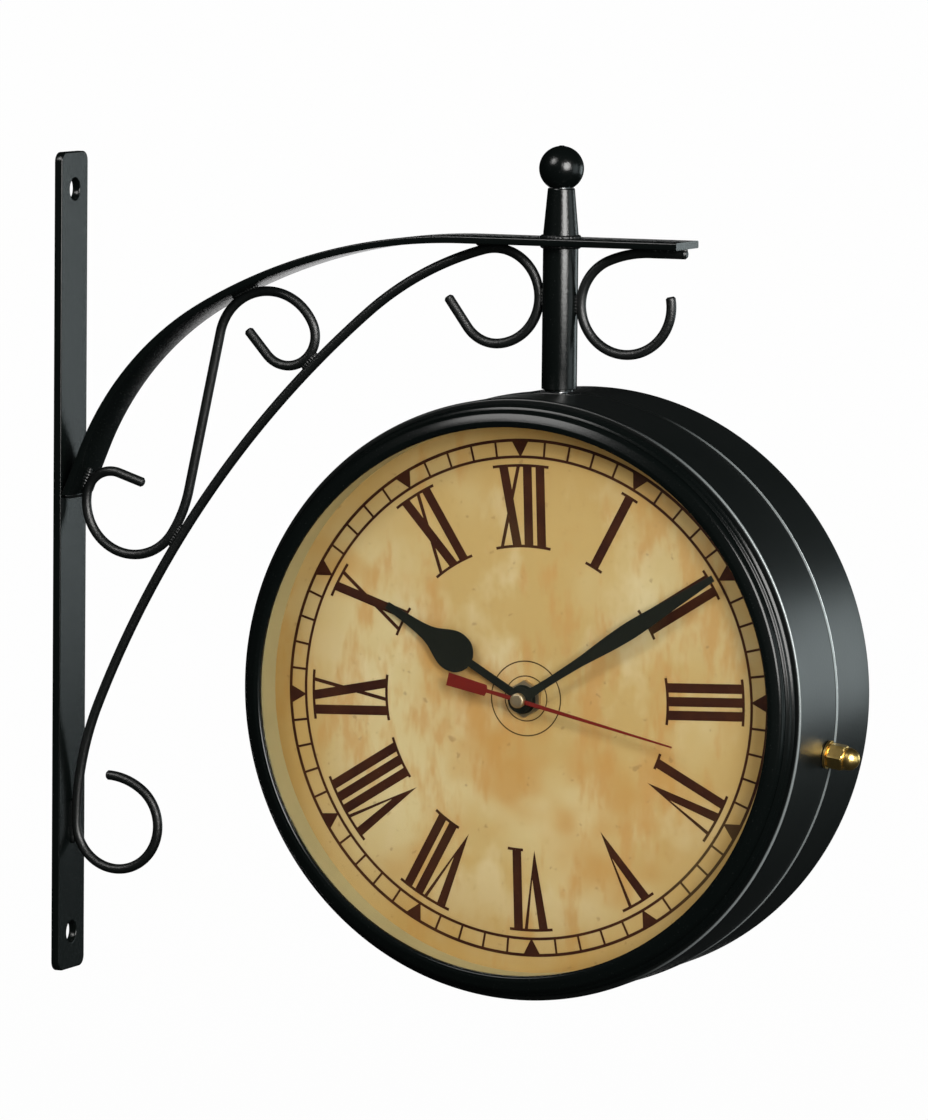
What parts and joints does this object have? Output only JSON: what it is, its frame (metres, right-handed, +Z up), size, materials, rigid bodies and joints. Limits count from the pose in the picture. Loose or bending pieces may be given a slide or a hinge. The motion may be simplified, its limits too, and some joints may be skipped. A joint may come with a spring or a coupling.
{
  "type": "double sided station clock",
  "caption": "Double sided station clock: a hinged drum with a glazed dial on each face hangs from a scrolled wall bracket under a ball finial.",
  "frame": {"origin": "centre of the wall bar's back face", "axes": "+X away from the wall along the arm, +Z up, -Y towards the viewer of the front dial"},
  "size_m": [0.2982, 0.0806, 0.2928],
  "materials": {
    "gloss_black": "gloss black enamel over sheet and bar steel, lightly orange-peeled",
    "zinc_steel": "zinc-plated fixings",
    "dial_glass": "clear flat glass",
    "pale_plastic": "pale grey-cream spacer ring",
    "dial_print": "printed card with an aged parchment look and dark red-brown figures",
    "dial_backing": "plain mill finish",
    "black_plastic": "moulded black plastic",
    "cell_wrap": "plain printed wrap",
    "contact_steel": "nickel-plated spring steel",
    "brass": "turned brass",
    "rubber": "soft black rubber",
    "white_plastic": "moulded white plastic",
    "hand_dark": "dark green-black satin paint on stamped sheet",
    "hand_red": "red paint on stamped sheet"
  },
  "bodies": {
    "bracket": {"wall_bar": "gloss_black", "arm_strip": "gloss_black", "brace_scroll": "gloss_black", "ess_scroll": "gloss_black", "end_scroll": "gloss_black", "post_tube": "gloss_black", "finial_cone": "gloss_black", "finial_ball": "gloss_black", "hanger_rod": "zinc_steel", "seat_washer": "gloss_black", "hanger_washer": "zinc_steel", "hanger_nut": "zinc_steel", "hanger_locknut": "zinc_steel"},
    "rear_half": {"rear_shell": "gloss_black", "saddle_plate": "gloss_black", "rear_hinge_leaf": "gloss_black", "hinge_pin": "gloss_black", "closing_stud": "brass", "bezel_rear": "gloss_black", "glass_rear": "dial_glass", "spacer_ring_rear": "pale_plastic", "dial_card_rear": "dial_print", "dial_plate_rear": "dial_backing", "movement_case_rear": "black_plastic", "movement_cover_rear": "black_plastic", "battery_rear": "cell_wrap", "battery_contacts_rear": "contact_steel", "threaded_bush_rear": "brass", "rubber_pad_rear": "rubber", "mounting_nut_rear": "brass"},
    "front_half": {"front_shell": "gloss_black", "front_hinge_leaf": "gloss_black", "bezel_front": "gloss_black", "glass_front": "dial_glass", "spacer_ring_front": "pale_plastic", "dial_card_front": "dial_print", "dial_plate_front": "dial_backing", "movement_case_front": "black_plastic", "movement_cover_front": "black_plastic", "battery_front": "cell_wrap", "battery_contacts_front": "contact_steel", "threaded_bush_front": "brass", "rubber_pad_front": "rubber", "mounting_nut_front": "brass"},
    "stud_washer": {"closing_washer": "brass"},
    "stud_nut": {"dome_nut": "brass"},
    "minute_front": {"minute_arbor_front": "white_plastic", "minute_hand_front": "hand_dark"},
    "hour_front": {"hour_wheel_front": "white_plastic", "hour_hand_front": "hand_dark"},
    "motion_front": {"motion_wheel_front": "white_plastic"},
    "knob_front": {"setting_knob_front": "black_plastic"},
    "second_front": {"second_hand_front": "hand_red"},
    "minute_rear": {"minute_arbor_rear": "white_plastic", "minute_hand_rear": "hand_dark"},
    "hour_rear": {"hour_wheel_rear": "white_plastic", "hour_hand_rear": "hand_dark"},
    "motion_rear": {"motion_wheel_rear": "white_plastic"},
    "knob_rear": {"setting_knob_rear": "black_plastic"},
    "second_rear": {"second_hand_rear": "hand_red"}
  },
  "joints": [
    {"name": "head_swivel", "type": "hinge", "parent": "bracket", "child": "rear_half", "pos_m": [0.186, 0, 0.08], "axis": [0, 0, 1], "range_deg": [-90, 90]},
    {"name": "case_opening", "type": "hinge", "parent": "rear_half", "child": "front_half", "pos_m": [0.0815, 0.0015, -0.035], "axis": [0, 0, -1], "range_deg": [0, 90]},
    {"name": "washer_slide", "type": "slide", "parent": "rear_half", "child": "stud_washer", "axis": [0.9888, 0, -0.1495], "range_m": [0, 0.0016]},
    {"name": "dome_nut_turn", "type": "hinge", "parent": "stud_washer", "child": "stud_nut", "pos_m": [0.186, -0.005, -0.035], "axis": [0.9888, 0, -0.1495], "range_deg": [0, 725]},
    {"name": "minute_turn_front", "type": "hinge", "parent": "front_half", "child": "minute_front", "pos_m": [0.186, -0.019, -0.035], "axis": [0, 1, 0], "continuous": true},
    {"name": "hour_turn_front", "type": "hinge", "parent": "front_half", "child": "hour_front", "pos_m": [0.186, -0.021, -0.035], "axis": [0, 1, 0], "continuous": true},
    {"name": "motion_turn_front", "type": "hinge", "parent": "front_half", "child": "motion_front", "pos_m": [0.17561, -0.019, -0.029], "axis": [0, 1, 0], "continuous": true},
    {"name": "knob_turn_front", "type": "hinge", "parent": "front_half", "child": "knob_front", "pos_m": [0.186, -0.012, -0.023], "axis": [0, 1, 0], "continuous": true},
    {"name": "second_turn_front", "type": "hinge", "parent": "front_half", "child": "second_front", "pos_m": [0.186, -0.032, -0.035], "axis": [0, 1, 0], "continuous": true},
    {"name": "minute_turn_rear", "type": "hinge", "parent": "rear_half", "child": "minute_rear", "pos_m": [0.186, 0.019, -0.035], "axis": [0, -1, 0], "continuous": true},
    {"name": "hour_turn_rear", "type": "hinge", "parent": "rear_half", "child": "hour_rear", "pos_m": [0.186, 0.021, -0.035], "axis": [0, -1, 0], "continuous": true},
    {"name": "motion_turn_rear", "type": "hinge", "parent": "rear_half", "child": "motion_rear", "pos_m": [0.19639, 0.019, -0.029], "axis": [0, -1, 0], "continuous": true},
    {"name": "knob_turn_rear", "type": "hinge", "parent": "rear_half", "child": "knob_rear", "pos_m": [0.186, 0.012, -0.023], "axis": [0, -1, 0], "continuous": true},
    {"name": "second_turn_rear", "type": "hinge", "parent": "rear_half", "child": "second_rear", "pos_m": [0.186, 0.032, -0.035], "axis": [0, -1, 0], "continuous": true}
  ],
  "couplings": [
    {"joint": "dome_nut_turn", "follows": "washer_slide", "rad_per_m": 7854},
    {"joint": "hour_turn_front", "follows": "minute_turn_front", "ratio": 0.083333},
    {"joint": "motion_turn_front", "follows": "minute_turn_front", "ratio": -0.33333},
    {"joint": "knob_turn_front", "follows": "minute_turn_front", "ratio": 1},
    {"joint": "hour_turn_rear", "follows": "minute_turn_rear", "ratio": 0.083333},
    {"joint": "motion_turn_rear", "follows": "minute_turn_rear", "ratio": -0.33333},
    {"joint": "knob_turn_rear", "follows": "minute_turn_rear", "ratio": 1}
  ]
}
